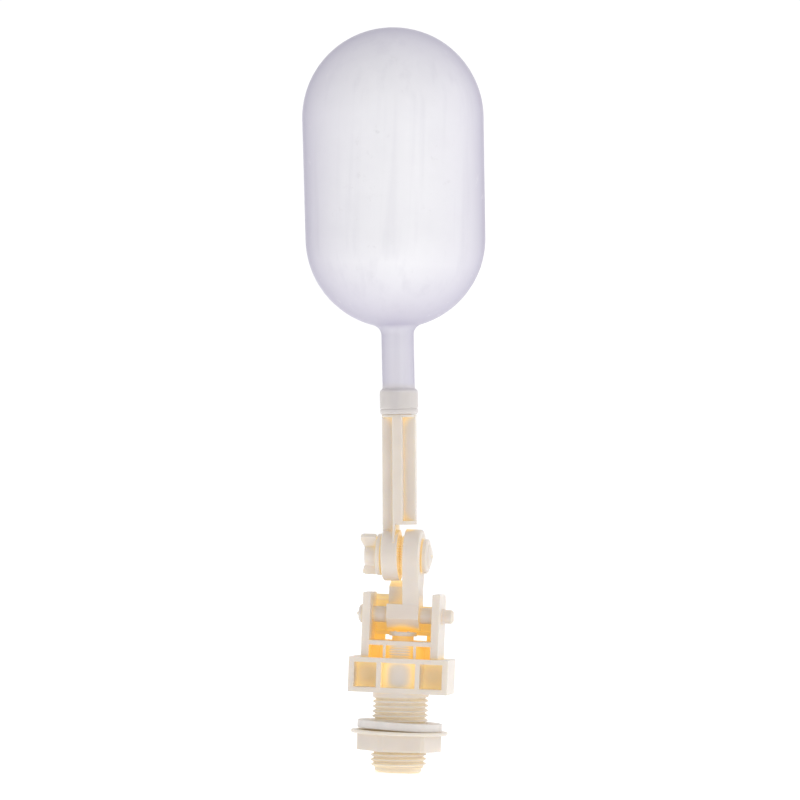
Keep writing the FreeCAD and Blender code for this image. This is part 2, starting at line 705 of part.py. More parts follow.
PIECES = {
    "valve_body": valve_body,
    "pivot_pin": pivot_pin,
    "lever": lever,
    "knuckle_bolt": knuckle_bolt,
    "float_arm": float_arm,
    "float_shell": float_shell,
    "thumb_washer": thumb_washer,
    "wing_nut": wing_nut,
    "plunger": plunger,
    "seal_disc": seal_disc,
    "tank_gasket": tank_gasket,
    "flange_nut": flange_nut,
}


def main():
    """Build every piece and write its STEP file."""
    os.makedirs("parts", exist_ok=True)
    for name, make in PIECES.items():
        shape = make()
        solids = shape.Solids
        if len(solids) != 1 or not solids[0].isValid():
            raise ValueError(f"{name}: {len(solids)} solids, valid {shape.isValid()}")
        solids[0].exportStep(f"parts/{name}.step")
        size = solids[0].BoundBox
        print(f"{name:14s} {solids[0].Volume / 1000:8.3f} cm3  x {size.XMin:7.2f} {size.XMax:7.2f}"
              f"  y {size.YMin:7.2f} {size.YMax:7.2f}  z {size.ZMin:7.2f} {size.ZMax:7.2f}")


main()
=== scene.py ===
"""Looks of a plastic float valve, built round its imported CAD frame.

The moulded cream pieces keep their CAD shapes and get rounded edges and a translucent finish. The
float and the tank gasket are surfaces worked out here, each standing for its plain CAD solid.
Everything is in metres, in the frame of the CAD part: +Z along the shank towards the float, +X
along the pivot pin, -Y the open side of the yoke.
"""

import json
import logging
import math
from dataclasses import dataclass
from enum import Enum

import bpy
import numpy as np
from mathutils import Matrix, Vector

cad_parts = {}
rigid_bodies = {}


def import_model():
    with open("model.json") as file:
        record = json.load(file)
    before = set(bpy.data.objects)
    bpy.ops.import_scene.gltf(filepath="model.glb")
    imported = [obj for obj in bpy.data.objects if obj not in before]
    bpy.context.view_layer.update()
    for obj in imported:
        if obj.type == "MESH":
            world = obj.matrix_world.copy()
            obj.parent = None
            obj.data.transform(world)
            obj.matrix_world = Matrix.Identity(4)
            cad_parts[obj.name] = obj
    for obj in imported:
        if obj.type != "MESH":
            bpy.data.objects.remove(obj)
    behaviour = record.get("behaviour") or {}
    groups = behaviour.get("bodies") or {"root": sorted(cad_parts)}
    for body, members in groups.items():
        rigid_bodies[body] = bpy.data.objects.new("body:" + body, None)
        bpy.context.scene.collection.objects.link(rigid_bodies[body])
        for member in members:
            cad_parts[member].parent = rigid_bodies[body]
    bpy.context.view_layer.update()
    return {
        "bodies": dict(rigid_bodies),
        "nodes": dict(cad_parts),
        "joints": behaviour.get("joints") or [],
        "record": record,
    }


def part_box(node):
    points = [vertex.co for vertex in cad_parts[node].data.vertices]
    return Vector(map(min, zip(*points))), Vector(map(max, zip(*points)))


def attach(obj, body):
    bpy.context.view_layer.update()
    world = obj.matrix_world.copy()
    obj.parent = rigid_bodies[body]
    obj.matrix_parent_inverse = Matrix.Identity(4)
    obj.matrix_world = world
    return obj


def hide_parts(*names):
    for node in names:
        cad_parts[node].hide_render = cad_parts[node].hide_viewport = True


LOG = logging.getLogger("float_valve")
MM = 0.001
FILLET_STEPS = 6
WHITE = (1.0, 1.0, 1.0, 1.0)

Colour = tuple[float, float, float, float]
Triple = tuple[float, float, float]
Socket = bpy.types.NodeSocket


class Body(Enum):
    """Bodies of the frame that the new pieces ride on."""

    ARM = "arm"
    GASKET = "gasket"


class Slot(Enum):
    """Material slots of the record; the new pieces don't fill them."""

    FLOAT = "float_plastic"
    GASKET = "gasket_rubber"


def srgb(red: int, green: int, blue: int) -> Colour:
    """Linear colour with alpha 1 from display values of 0 to 255, by the sRGB curve."""
    linear = [((v / 255 + 0.055) / 1.055) ** 2.4 if v > 10 else v / 255 / 12.92
              for v in (red, green, blue)]
    return (linear[0], linear[1], linear[2], 1.0)


def scaled(colour: Colour, factor: float) -> Colour:
    """Colour times a factor, held at 1, with alpha 1."""
    red, green, blue = (min(1.0, v * factor) for v in colour[:3])
    return (red, green, blue, 1.0)


# ---- meshes -------------------------------------------------------------------------------------

def moved(points: np.ndarray, place: Matrix) -> np.ndarray:
    """Move points: each becomes the matrix's turn times it, plus the matrix's shift.

    Args:
        points: (n, 3) array of places.
        place: the matrix.

    Returns:
        (n, 3) array of the new places.
    """
    rows = np.array(place)
    return points @ rows[:3, :3].T + rows[:3, 3]


def band(lower: np.ndarray, upper: np.ndarray) -> np.ndarray:
    """Join rows of corners that wrap round: each quad is two neighbours of a row and the two above.

    Args:
        lower: (n, turns) corner indices of the rows below.
        upper: (n, turns) corner indices of the rows above them.

    Returns:
        (n * turns, 4) array of quads.
    """
    quads = np.stack([lower, np.roll(lower, -1, 1), np.roll(upper, -1, 1), upper], axis=-1)
    return quads.reshape(-1, 4)


def mesh_object(name: str, points: np.ndarray, faces: list[np.ndarray]) -> bpy.types.Object:
    """Make a smooth object from points and arrays of faces with equal corner counts.

    Args:
        name: name of the new piece.
        points: (n, 3) array of places in metres.
        faces: arrays of corner indices, one array per corner count.

    Returns:
        The linked object, at the origin.
    """
    mesh = bpy.data.meshes.new(name)
    loops = np.concatenate([f.ravel() for f in faces]).astype(np.int32)
    counts = np.concatenate([np.full(len(f), f.shape[1]) for f in faces])
    starts = np.concatenate([[0], np.cumsum(counts)[:-1]]).astype(np.int32)
    mesh.vertices.add(len(points))
    mesh.vertices.foreach_set("co", points.astype(np.float32).ravel())
    mesh.loops.add(len(loops))
    mesh.loops.foreach_set("vertex_index", loops)
    mesh.polygons.add(len(counts))
    mesh.polygons.foreach_set("loop_start", starts)
    mesh.polygons.foreach_set("use_smooth", np.full(len(counts), True))
    mesh.update(calc_edges=True)
    mesh.validate()
    piece = bpy.data.objects.new(name, mesh)
    bpy.context.scene.collection.objects.link(piece)
    return piece


def smooth_path(corners: list[tuple[float, float, float]]) -> np.ndarray:
    """Round the corners of a half outline.

    Each corner is (radius from the axis, height, fillet radius); a fillet is the circle that
    touches both of the corner's lines, walked as an arc of equal steps. Its centre lies on the line
    that halves the corner, at the fillet divided by the sine of the half angle.

    Args:
        corners: outline points with their fillets; a fillet of 0 keeps the corner.

    Returns:
        (n, 2) array of radius and height.
    """
    places = np.array([c[:2] for c in corners])
    out: list[np.ndarray] = []
    for index, (_, _, fillet) in enumerate(corners):
        here = places[index]
        if fillet <= 0 or index in (0, len(corners) - 1):
            out.append(here[None, :])
            continue
        before = (places[index - 1] - here) / np.linalg.norm(places[index - 1] - here)
        after = (places[index + 1] - here) / np.linalg.norm(places[index + 1] - here)
        half = 0.5 * math.acos(float(np.clip(before @ after, -1, 1)))
        centre = here + (before + after) / np.linalg.norm(before + after) * fillet / math.sin(half)
        reach = fillet / math.tan(half)
        first, last = here + before * reach - centre, here + after * reach - centre
        start = math.atan2(first[1], first[0])
        sweep = math.atan2(first[0] * last[1] - first[1] * last[0], first @ last)
        angles = start + sweep * np.linspace(0, 1, FILLET_STEPS)
        out.append(centre + fillet * np.stack([np.cos(angles), np.sin(angles)], axis=-1))
    return np.concatenate(out)


# ---- finishes -----------------------------------------------------------------------------------

class Graph:
    """Thin wrapper that adds and joins the nodes of one material."""

    def __init__(self, name: str) -> None:
        """Make a material with an output and a Principled shader."""
        self.material = bpy.data.materials.new(name)
        self.material.use_nodes = True
        self.tree = self.material.node_tree
        self.tree.nodes.clear()
        output = self.tree.nodes.new("ShaderNodeOutputMaterial")
        self.shader = self.tree.nodes.new("ShaderNodeBsdfPrincipled")
        self.tree.links.new(self.shader.outputs["BSDF"], output.inputs["Surface"])
        self.place = self.tree.nodes.new("ShaderNodeTexCoord").outputs["Object"]

    def feed(self, socket: Socket, value: object) -> None:
        """Join another node's output to a socket, or set the socket to a constant.

        Args:
            socket: the input to fill.
            value: an output socket or a constant.
        """
        if isinstance(value, Socket):
            self.tree.links.new(value, socket)
        else:
            socket.default_value = value

    def node(self, kind: str, inputs: dict[str, object], **settings: object) -> bpy.types.Node:
        """Add a node.

        Args:
            kind: type name of the node.
            inputs: socket name to a value, or to another node's output.
            **settings: properties of the node itself.

        Returns:
            The new node.
        """
        node = self.tree.nodes.new(kind)
        for key, value in settings.items():
            setattr(node, key, value)
        for key, value in inputs.items():
            self.feed(node.inputs[key], value)
        return node

    def height(self) -> Socket:
        """Height over the frame's origin, in metres."""
        return self.node("ShaderNodeSeparateXYZ", {"Vector": self.place}).outputs["Z"]

    def noise(self, scale: float, detail: float = 3.0, rough: float = 0.5) -> Socket:
        """Noise over the piece, in its own coordinates.

        Args:
            scale: features per metre.
            detail: how many finer layers are added.
            rough: strength of each finer layer.

        Returns:
            The noise, about 0.5 on average.
        """
        node = self.node("ShaderNodeTexNoise", {"Vector": self.place, "Scale": scale,
                                                "Detail": detail, "Roughness": rough})
        return node.outputs["Fac"]

    def mapped(self, value: Socket, low: float, high: float, to_low: float = 0.0,
               to_high: float = 1.0) -> Socket:
        """Map a value from one range to another, held at the ends.

        Args:
            value: what is mapped.
            low: start of the range that it is in.
            high: end of that range.
            to_low: what low becomes.
            to_high: what high becomes.

        Returns:
            The mapped value.
        """
        node = self.node("ShaderNodeMapRange", {"Value": value, "From Min": low, "From Max": high,
                                                "To Min": to_low, "To Max": to_high})
        return node.outputs["Result"]

    def mixed(self, share: Socket, a: object, b: object) -> Socket:
        """Mix two colours.

        Args:
            share: how much of the second colour there is, from 0 to 1.
            a: first colour, a constant or an output.
            b: second colour, a constant or an output.

        Returns:
            The mixed colour.
        """
        node = self.node("ShaderNodeMix", {}, data_type="RGBA")
        for index, value in ((0, share), (6, a), (7, b)):
            self.feed(node.inputs[index], value)
        return node.outputs[2]

    def times(self, a: Socket, b: Socket) -> Socket:
        """Multiply two values.

        Args:
            a: first value.
            b: second value.

        Returns:
            Their product.
        """
        node = self.node("ShaderNodeMath", {}, operation="MULTIPLY")
        self.feed(node.inputs[0], a)
        self.feed(node.inputs[1], b)
        return node.outputs["Value"]

    def bump(self, height: Socket, distance: float, normal: Socket | None = None) -> Socket:
        """Bump of a real height, on top of an earlier normal.

        Args:
            height: relief from 0 to 1.
            distance: height of a full relief, in metres.
            normal: the normal under it, or none for the surface's own.

        Returns:
            The new normal.
        """
        inputs: dict[str, object] = {"Height": height, "Distance": distance, "Strength": 1.0}
        if normal is not None:
            inputs["Normal"] = normal
        return self.node("ShaderNodeBump", inputs).outputs["Normal"]

    def finish(self, **values: object) -> bpy.types.Material:
        """Set sockets of the Principled shader; underscores in a name stand for spaces.

        Args:
            **values: socket name to a constant, or to another node's output.

        Returns:
            The finished material.
        """
        for key, value in values.items():
            self.feed(self.shader.inputs[key.replace("_", " ")], value)
        return self.material


@dataclass(frozen=True)
class MouldedPlastic:
    """Cream translucent plastic with a painted glow that stands for light let through its thin
    walls:
    straw yellow in its recesses and amber inside the yoke.

    Scales are in features per metre. The amber of the painted glow stands between deep_low and
    deep_high and has faded to deep_rest at deep_end; below the flange only shank_share of the
    painted glow is left.
    """

    name: str
    face: Colour
    # Painted glow colours for light let through the walls: straw in recesses, amber in the yoke.
    painted_recess_glow: Colour
    painted_deep_glow: Colour
    recess_reach: float = 7 * MM
    recess_from: float = 0.72
    recess_span: float = 0.4
    shank_share: float = 0.4
    fade: float = 1 * MM
    deep_low: float = 13 * MM
    deep_high: float = 24 * MM
    deep_end: float = 34 * MM
    deep_rest: float = 0.1
    # Emission strength of the painted glow in the recesses.
    glow: float = 0.22
    mottle_scale: float = 90.0
    mottle_lift: float = 1.05
    edge: float = 0.25 * MM
    wave_scale: float = 140.0
    wave_height: float = 0.05 * MM
    grain_scale: float = 2600.0
    grain_height: float = 0.012 * MM
    gloss_scale: float = 700.0
    smoothest: float = 0.30
    roughest: float = 0.46
    refraction: float = 1.48
    cloudiness: float = 0.45
    scatter: float = 4 * MM
    scatter_tint: Triple = (1.0, 0.85, 0.55)

    def painted_glow(self, g: Graph) -> tuple[Socket, Socket]:
        """Find how far a spot is hidden, and the colour of the painted glow there.

        Args:
            g: the material's graph.

        Returns:
            The share of painted glow, from ambient occlusion, and its colour, from the height.
        """
        # Painted glow: ambient occlusion finds the recesses where light through the walls is
        # painted in.
        shade = g.node("ShaderNodeAmbientOcclusion", {"Distance": self.recess_reach}, samples=12)
        hidden = g.mapped(shade.outputs["AO"], self.recess_from - self.recess_span,
                          self.recess_from, 1.0, 0.0)
        height = g.height()
        painted_glow_share = g.times(hidden, g.mapped(height, -self.fade, self.fade, self.shank_share, 1.0))
        # Share of amber in the painted glow, by height inside the yoke.
        amber = g.times(g.mapped(height, self.deep_low - self.fade, self.deep_low),
                        g.mapped(height, self.deep_high, self.deep_end, 1.0, self.deep_rest))
        return painted_glow_share, g.mixed(amber, self.painted_recess_glow, self.painted_deep_glow)

    def skin(self, g: Graph) -> Socket:
        """Normal of rounded edges, under flow marks, under a moulded grain.

        Args:
            g: the material's graph.

        Returns:
            The normal.
        """
        rounded = g.node("ShaderNodeBevel", {"Radius": self.edge}, samples=6).outputs["Normal"]
        waves = g.bump(g.noise(self.wave_scale, 2.0), self.wave_height, rounded)
        return g.bump(g.noise(self.grain_scale, 3.0, 0.6), self.grain_height, waves)

    def make(self) -> bpy.types.Material:
        """Build the material: the painted glow colour takes the face's place, and is emitted, as a
        spot lies deeper.

        Returns:
            The material.
        """
        g = Graph(self.name)
        painted_glow_share, painted_glow_colour = self.painted_glow(g)
        mottle = g.mapped(g.noise(self.mottle_scale, 2.0), 0.35, 0.65)
        face = g.mixed(mottle, self.face, scaled(self.face, self.mottle_lift))
        rough = g.mapped(g.noise(self.gloss_scale, 4.0), 0.3, 0.7, self.smoothest, self.roughest)
        # Painted glow: recesses take the painted glow colour and emit it, for light through the
        # walls.
        return g.finish(
            Base_Color=g.mixed(painted_glow_share, face, painted_glow_colour), Roughness=rough, IOR=self.refraction,
            Normal=self.skin(g), Subsurface_Weight=self.cloudiness,
            Subsurface_Radius=self.scatter_tint, Subsurface_Scale=self.scatter,
            Emission_Color=painted_glow_colour, Emission_Strength=g.mapped(painted_glow_share, 0.0, 1.0, 0.0, self.glow))


@dataclass(frozen=True)
class MilkyPlastic:
    """Thin milky float plastic: cool white with painted shade greying its edges and neck, creamier
    at its collar.

    Scales are in features per metre, and the heights are those of the frame.
    """

    name: str
    face: Colour
    # Painted shade colour of the edges and neck, also the real tone of the streaks and clouds.
    painted_shade_and_tone: Colour
    scuff: Colour
    collar: Colour
    facing_blend: float = 0.3
    rim_from: float = 0.02
    rim_full: float = 0.6
    # Painted shade greys the neck below neck_top and fades out over neck_fade above it.
    neck_top: float = 138 * MM
    neck_fade: float = 22 * MM
    painted_neck_shade_share: float = 0.45
    collar_top: float = 113 * MM
    collar_fade: tuple[float, float] = (1 * MM, 3 * MM)
    collar_share: float = 0.9
    streak_scale: float = 240.0
    streak_stretch: float = 0.04
    streak_share: float = 0.12
    cloud_scale: float = 22.0
    cloud_share: float = 0.12
    scratch_scale: float = 170.0
    scratch_share: float = 0.6
    wave_scale: float = 30.0
    wave_height: float = 0.4 * MM
    grain_scale: float = 1500.0
    grain_height: float = 0.02 * MM
    smoothest: float = 0.42
    scratch_roughness: float = 0.2
    refraction: float = 1.5
    cloudiness: float = 0.5
    scatter: float = 4 * MM
    scatter_tint: Triple = (1.0, 0.95, 1.0)
    # Strength of a painted glow: the plastic emits a little of its own colour.
    glow: float = 0.05

    def with_painted_shade(self, g: Graph) -> Socket:
        """Colour of the clean plastic with painted shade: the grazing tint is painted shade that
        stands for a longer way through the wall.

        Args:
            g: the material's graph.

        Returns:
            The face colour mixed with the painted shade colour at the edges and the neck, and with
            the collar's.
        """
        facing = g.node("ShaderNodeLayerWeight", {"Blend": self.facing_blend}).outputs["Facing"]
        height = g.height()
        # Painted shade: spots seen at a grazing angle take the shade colour.
        colour = g.mixed(g.mapped(facing, self.rim_from, self.rim_full), self.face, self.painted_shade_and_tone)
        # Painted shade on the neck, fading out above it.
        neck = g.mapped(height, self.neck_top, self.neck_top + self.neck_fade, self.painted_neck_shade_share, 0.0)
        colour = g.mixed(neck, colour, self.painted_shade_and_tone)
        below, above = self.collar_fade
        collar = g.mapped(height, self.collar_top - below, self.collar_top + above,
                          self.collar_share, 0.0)
        return g.mixed(collar, colour, self.collar)

    def make(self) -> bpy.types.Material:
        """Build the material: streaks drawn along the float, clouds and scratches over its tint.

        Returns:
            The material.
        """
        g = Graph(self.name)
        drawn = g.node("ShaderNodeMapping", {"Vector": g.place,
                                             "Scale": (1.0, 1.0, self.streak_stretch)})
        streak = g.node("ShaderNodeTexNoise", {"Vector": drawn.outputs["Vector"],
                                               "Scale": self.streak_scale, "Detail": 3.0})
        streaks = g.mapped(streak.outputs["Fac"], 0.5, 0.75, 0.0, self.streak_share)
        clouds = g.mapped(g.noise(self.cloud_scale, 4.0, 0.6), 0.45, 0.75, 0.0, self.cloud_share)
        scratches = g.mapped(g.noise(self.scratch_scale, 8.0, 0.75), 0.60, 0.72, 0.0,
                             self.scratch_share)
        colour = self.with_painted_shade(g)
        # Streaks and clouds are the plastic's own tone; scratches take the scuff colour.
        for share, tint in ((streaks, self.painted_shade_and_tone), (clouds, self.painted_shade_and_tone), (scratches, self.scuff)):
            colour = g.mixed(share, colour, tint)
        waves = g.bump(g.noise(self.wave_scale, 2.0), self.wave_height)
        skin = g.bump(g.noise(self.grain_scale, 4.0, 0.6), self.grain_height, waves)
        rough = g.mapped(scratches, 0.0, 1.0, self.smoothest,
                         self.smoothest + self.scratch_roughness)
        # Painted glow: a faint emission of the plastic's own colour.
        return g.finish(
            Base_Color=colour, Roughness=rough, IOR=self.refraction, Normal=skin,
            Subsurface_Weight=self.cloudiness, Subsurface_Radius=self.scatter_tint,
            Subsurface_Scale=self.scatter, Emission_Color=colour, Emission_Strength=self.glow)


@dataclass(frozen=True)
class SoftRubber:
    """Matt rubber with a mottled colour and a fine grain; scales are in features per metre."""

    name: str
    face: Colour
    roughness: float = 0.6
    mottle_scale: float = 260.0
    mottle_drop: float = 0.93
    grain_scale: float = 3200.0
    grain_height: float = 0.03 * MM
    refraction: float = 1.5
    cloudiness: float = 0.3
    scatter: float = 1.5 * MM
    scatter_tint: Triple = (1.0, 0.8, 0.7)

    def make(self) -> bpy.types.Material:
        """Build the material: noise mixes the face with a darker tone, finer noise is the grain.

        Returns:
            The material.
        """
        g = Graph(self.name)
        mottle = g.mapped(g.noise(self.mottle_scale, 5.0), 0.35, 0.7)
        colour = g.mixed(mottle, self.face, scaled(self.face, self.mottle_drop))
        grain = g.bump(g.noise(self.grain_scale, 3.0, 0.7), self.grain_height)
        return g.finish(
            Base_Color=colour, Roughness=self.roughness, IOR=self.refraction, Normal=grain,
            Subsurface_Weight=self.cloudiness, Subsurface_Radius=self.scatter_tint,
            Subsurface_Scale=self.scatter)


@dataclass(frozen=True)
class PalePaper:
    """Background paper that glows a little; its scale is in features per metre."""

    name: str = "pale_paper"
    face: Colour = (0.93, 0.93, 0.93, 1.0)
    roughness: float = 0.85
    glow: float = 0.38
    grain_scale: float = 900.0
    grain_height: float = 0.02 * MM

    def make(self) -> bpy.types.Material:
        """Build the material from an even colour and a fine grain.

        Returns:
            The material.
        """
        g = Graph(self.name)
        grain = g.bump(g.noise(self.grain_scale), self.grain_height)
        return g.finish(Base_Color=self.face, Roughness=self.roughness, Normal=grain,
                        Emission_Color=WHITE, Emission_Strength=self.glow)


# The second and third colours are painted glow, for light let through the walls in recesses.
CREAM, PAINTED_STRAW_GLOW, PAINTED_AMBER_GLOW = srgb(219, 210, 201), srgb(248, 226, 180), srgb(247, 214, 132)
ROOMY_PLASTIC = MouldedPlastic("cream_plastic", CREAM, PAINTED_STRAW_GLOW, PAINTED_AMBER_GLOW)
FINNED_PLASTIC = MouldedPlastic("cream_plastic_fins", CREAM, PAINTED_STRAW_GLOW, PAINTED_AMBER_GLOW,
                                recess_reach=4 * MM, glow=0.12)
# The float's second colour is painted shade at the edges and neck, and the tone of streaks.
FLOAT_PLASTIC = MilkyPlastic("milky_plastic", face=srgb(243, 241, 247), painted_shade_and_tone=srgb(170, 166, 184),
                             scuff=srgb(216, 213, 220), collar=srgb(206, 200, 194))
BLACK_RUBBER = SoftRubber("seal_rubber", srgb(38, 37, 36), roughness=0.7, scatter=0.2 * MM)
PALE_RUBBER = SoftRubber("pale_rubber", srgb(230, 225, 221))


# ---- sub-assemblies -----------------------------------------------------------------------------

@dataclass
class CadPieces:
    """CAD pieces that keep their shape and get a finish."""

    finish: MouldedPlastic | SoftRubber
    nodes: tuple[str, ...]

    def dress(self, frame: dict) -> None:
        """Give each node the finish.
        """
        material = self.finish.make()
        for name in self.nodes:
            node = frame["nodes"][name]
            node.data.materials.clear()
            node.data.materials.append(material)
            LOG.info("dressed %s in %s", name, material.name)


@dataclass
class FloatVessel:
    """Blow-moulded float: long capsule, neck and collar, with the mould's parting line.

    Heights are those of the frame before the float leans with the arm. The collar's lip is a
    shallow groove between two rounded lands.
    """

    axis_x: float = -2.3 * MM
    knuckle_z: float = 51.3 * MM
    arm_lean: float = math.radians(2.6)
    float_lean: float = math.radians(3.45)
    seat_gap: float = 0.105 * MM
    foot: float = 104.0 * MM
    collar_r: float = 7.1 * MM
    collar_length: float = 9.0 * MM
    collar_draft: float = 0.1 * MM
    foot_edge: float = 0.7 * MM
    lip_z: float = 1.6 * MM
    lip_depth: float = 0.3 * MM
    lip_edge: float = 0.25 * MM
    groove_rise: float = 0.35 * MM
    groove_edge: float = 0.1 * MM
    land_rise: float = 0.8 * MM
    land_edge: float = 0.3 * MM
    shoulder_drop: float = 0.2 * MM
    shoulder_edge: float = 1.0 * MM
    neck_rise: float = 0.6 * MM
    neck_edge: float = 0.8 * MM
    neck_r: float = 6.0 * MM
    inner_r: float = 4.65 * MM
    lower_r: float = 33.7 * MM
    upper_r: float = 34.0 * MM
    lower_z: float = 170.0 * MM
    upper_z: float = 215.0 * MM
    flare: float = 4.0 * MM
    wall: float = 1.2 * MM
    seam_height: float = 0.10 * MM
    seam_width: float = 0.35 * MM
    seam_crowding: float = 0.22
    turns: int = 192
    flare_steps: int = 10
    lower_steps: int = 40
    side_steps: int = 14
    upper_steps: int = 44
    finish: MilkyPlastic = FLOAT_PLASTIC

    def leaned(self, height: float, angle: float) -> Matrix:
        """Turn towards -X about a point of the float's upright axis.

        Args:
            height: where the point lies.
            angle: how far to turn, in radians.

        Returns:
            The matrix of the turn.
        """
        pivot = Vector((self.axis_x, 0, height))
        turn = Matrix.Rotation(-angle, 4, "Y")
        return Matrix.Translation(pivot) @ turn @ Matrix.Translation(-pivot)

    def place(self) -> Matrix:
        """Lean the float with the arm, and a little further about the arm's head.

        Returns:
            The matrix that takes the upright float to its place.
        """
        more = self.leaned(self.foot, self.float_lean - self.arm_lean)
        return self.leaned(self.knuckle_z, self.arm_lean) @ more @ Matrix.Translation(
            (self.axis_x, 0, self.seat_gap))

    def body_profile(self, inset: float, neck_r: float) -> np.ndarray:
        """Half outline from the neck to the top pole.

        The flare is an arc that touches the neck and the lower dome, the domes are quarter circles,
        and the side is a straight line between them.

        Args:
            inset: distance inside the outer skin.
            neck_r: radius of the neck at this skin.

        Returns:
            (n, 2) array of radius and height.
        """
        lower, upper, fillet = self.lower_r - inset, self.upper_r - inset, self.flare + inset
        centre_r = neck_r + fillet
        centre_z = self.lower_z - math.sqrt((lower + fillet) ** 2 - centre_r ** 2)
        touch = math.atan2(self.lower_z - centre_z, centre_r)
        flare = np.linspace(0, touch, self.flare_steps)
        flare_line = np.stack([centre_r - fillet * np.cos(flare),
                               centre_z + fillet * np.sin(flare)], axis=-1)
        dome = np.linspace(touch, 0, self.lower_steps)[1:]
        dome_line = np.stack([lower * np.cos(dome), self.lower_z - lower * np.sin(dome)], axis=-1)
        side = np.linspace(0, 1, self.side_steps)[1:, None]
        side_line = dome_line[-1] * (1 - side) + np.array([upper, self.upper_z]) * side
        cap = np.linspace(0, math.pi / 2, self.upper_steps)[1:]
        cap_line = np.stack([upper * np.cos(cap), self.upper_z + upper * np.sin(cap)], axis=-1)
        return np.concatenate([flare_line, dome_line, side_line, cap_line])

    def collar_profile(self, neck_end: float) -> np.ndarray:
        """Half outline of the foot, the collar with its lip, and the neck.

        Args:
            neck_end: height where the neck meets the flare.

        Returns:
            (n, 2) array of radius and height, from the bore's edge outwards and up.
        """
        r, lip, top = self.collar_r, self.foot + self.lip_z, self.foot + self.collar_length
        return smooth_path([
            (self.inner_r, self.foot, 0),
            (r - self.collar_draft, self.foot, self.foot_edge),
            (r, lip, self.lip_edge),
            (r - self.lip_depth, lip + self.groove_rise, self.groove_edge),
            (r, lip + self.land_rise, self.land_edge),
            (r, top - self.shoulder_drop, self.shoulder_edge),
            (self.neck_r, top + self.neck_rise, self.neck_edge),
            (self.neck_r, neck_end, 0)])

    def surface(self, profile: np.ndarray, seam: bool) -> np.ndarray:
        """Turn a profile about the axis; the parting line is a Gaussian ridge at both sides in X.

        With a seam, the steps of the turn crowd towards the ridges: the angle is the even one less
        the crowding times the sine of its double.

        Args:
            profile: (n, 2) array of radius and height.
            seam: raise the parting line.

        Returns:
            (n, turns, 3) grid.
        """
        plain = np.linspace(0, 2 * math.pi, self.turns, endpoint=False)
        angle = (plain - self.seam_crowding * np.sin(2 * plain) if seam else plain)[None, :]
        radius, height = profile[:, :1], profile[:, 1:]
        arc = np.abs(np.sin(angle)) * radius
        ridge = self.seam_height * np.exp(-(arc / self.seam_width) ** 2) if seam else 0.0
        r = radius + ridge * np.clip(radius / self.neck_r, 0, 1)
        x, y, z = np.broadcast_arrays(r * np.cos(angle), r * np.sin(angle), height)
        return np.stack([x, y, z], axis=-1)

    def close(self, skin: np.ndarray, hollow: np.ndarray) -> bpy.types.Object:
        """Join the outer skin and the hollow, each with one pole at the top, at the foot.

        Args:
            skin: grid of the outer skin, from the foot to its pole.
            hollow: grid of the inner skin, from its pole to the foot.

        Returns:
            The closed shell in its place.
        """
        turns = self.turns
        outer, inner = skin[:-1].reshape(-1, 3), hollow[1:].reshape(-1, 3)
        outer_rows = np.arange(len(outer)).reshape(-1, turns)
        inner_rows = np.arange(len(inner)).reshape(-1, turns) + len(outer)
        rows = np.concatenate([inner_rows, outer_rows])
        outer_pole, inner_pole = rows.size, rows.size + 1
        top, base = outer_rows[-1], inner_rows[0]
        fans = np.concatenate([
            np.stack([np.full(turns, outer_pole), top, np.roll(top, -1)], axis=-1),
            np.stack([np.full(turns, inner_pole), np.roll(base, -1), base], axis=-1)])
        points = np.concatenate([outer, inner, skin[-1, :1], hollow[0, :1]])
        return mesh_object("float_skin", moved(points, self.place()),
                           [band(rows[:-1], rows[1:]), fans])

    def build(self) -> bpy.types.Object:
        """Build the closed shell: outer skin with its collar, and inner skin joined at the foot.

        Returns:
            The float, riding on the arm.
        """
        outer = self.body_profile(0.0, self.neck_r)
        inner = self.body_profile(self.wall, self.inner_r)[::-1]
        whole = np.concatenate([self.collar_profile(outer[0, 1]), outer[1:]])
        piece = self.close(self.surface(whole, True), self.surface(inner, False))
        piece.data.materials.append(self.finish.make())
        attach(piece, Body.ARM.value)
        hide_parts("float_shell")
        return piece


@dataclass
class TankGasket:
    """Soft ring that sits a little askew on the flange nut."""

    inner_r: float = 10.63 * MM
    outer_r: float = 15.9 * MM
    thickness: float = 2.9 * MM
    edge: float = 0.35 * MM
    tilt: float = math.radians(1.5)
    waviness: float = 0.10 * MM
    waves: int = 3
    wave_start: float = 0.7
    turns: int = 160
    finish: SoftRubber = PALE_RUBBER

    def build(self) -> bpy.types.Object:
        """Build the ring: a rounded rectangle turned about Z, with a slow wave in its height.

        The wave lowers a spot by up to the waviness, with the sine of three times the angle, in
        proportion to its way from the bore to the rim.

        Returns:
            The ring in the middle of the CAD gasket's box.
        """
        low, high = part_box("tank_gasket")
        middle = Vector([(a + b) / 2 for a, b in zip(low, high)])
        half = self.thickness / 2
        ring = smooth_path([
            (self.inner_r, 0, 0), (self.inner_r, half, self.edge), (self.outer_r, half, self.edge),
            (self.outer_r, -half, self.edge), (self.inner_r, -half, self.edge),
            (self.inner_r, -0.1 * MM, 0)])
        angle = np.linspace(0, 2 * math.pi, self.turns, endpoint=False)[None, :]
        radius, height = ring[:, :1], ring[:, 1:]
        share = (radius - self.inner_r) / (self.outer_r - self.inner_r)
        wave = np.sin(self.waves * angle + self.wave_start) - 1.0
        lift = height + self.waviness / 2 * share * wave
        grid = np.stack([radius * np.cos(angle), radius * np.sin(angle), lift], axis=-1)[::-1]
        rows = np.arange(grid[..., 0].size).reshape(grid.shape[:2])
        place = Matrix.Translation(middle) @ Matrix.Rotation(self.tilt, 4, "Y")
        piece = mesh_object("gasket_ring", moved(grid.reshape(-1, 3), place),
                            [band(rows, np.roll(rows, -1, axis=0))])
        piece.data.materials.append(self.finish.make())
        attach(piece, Body.GASKET.value)
        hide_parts("tank_gasket")
        return piece


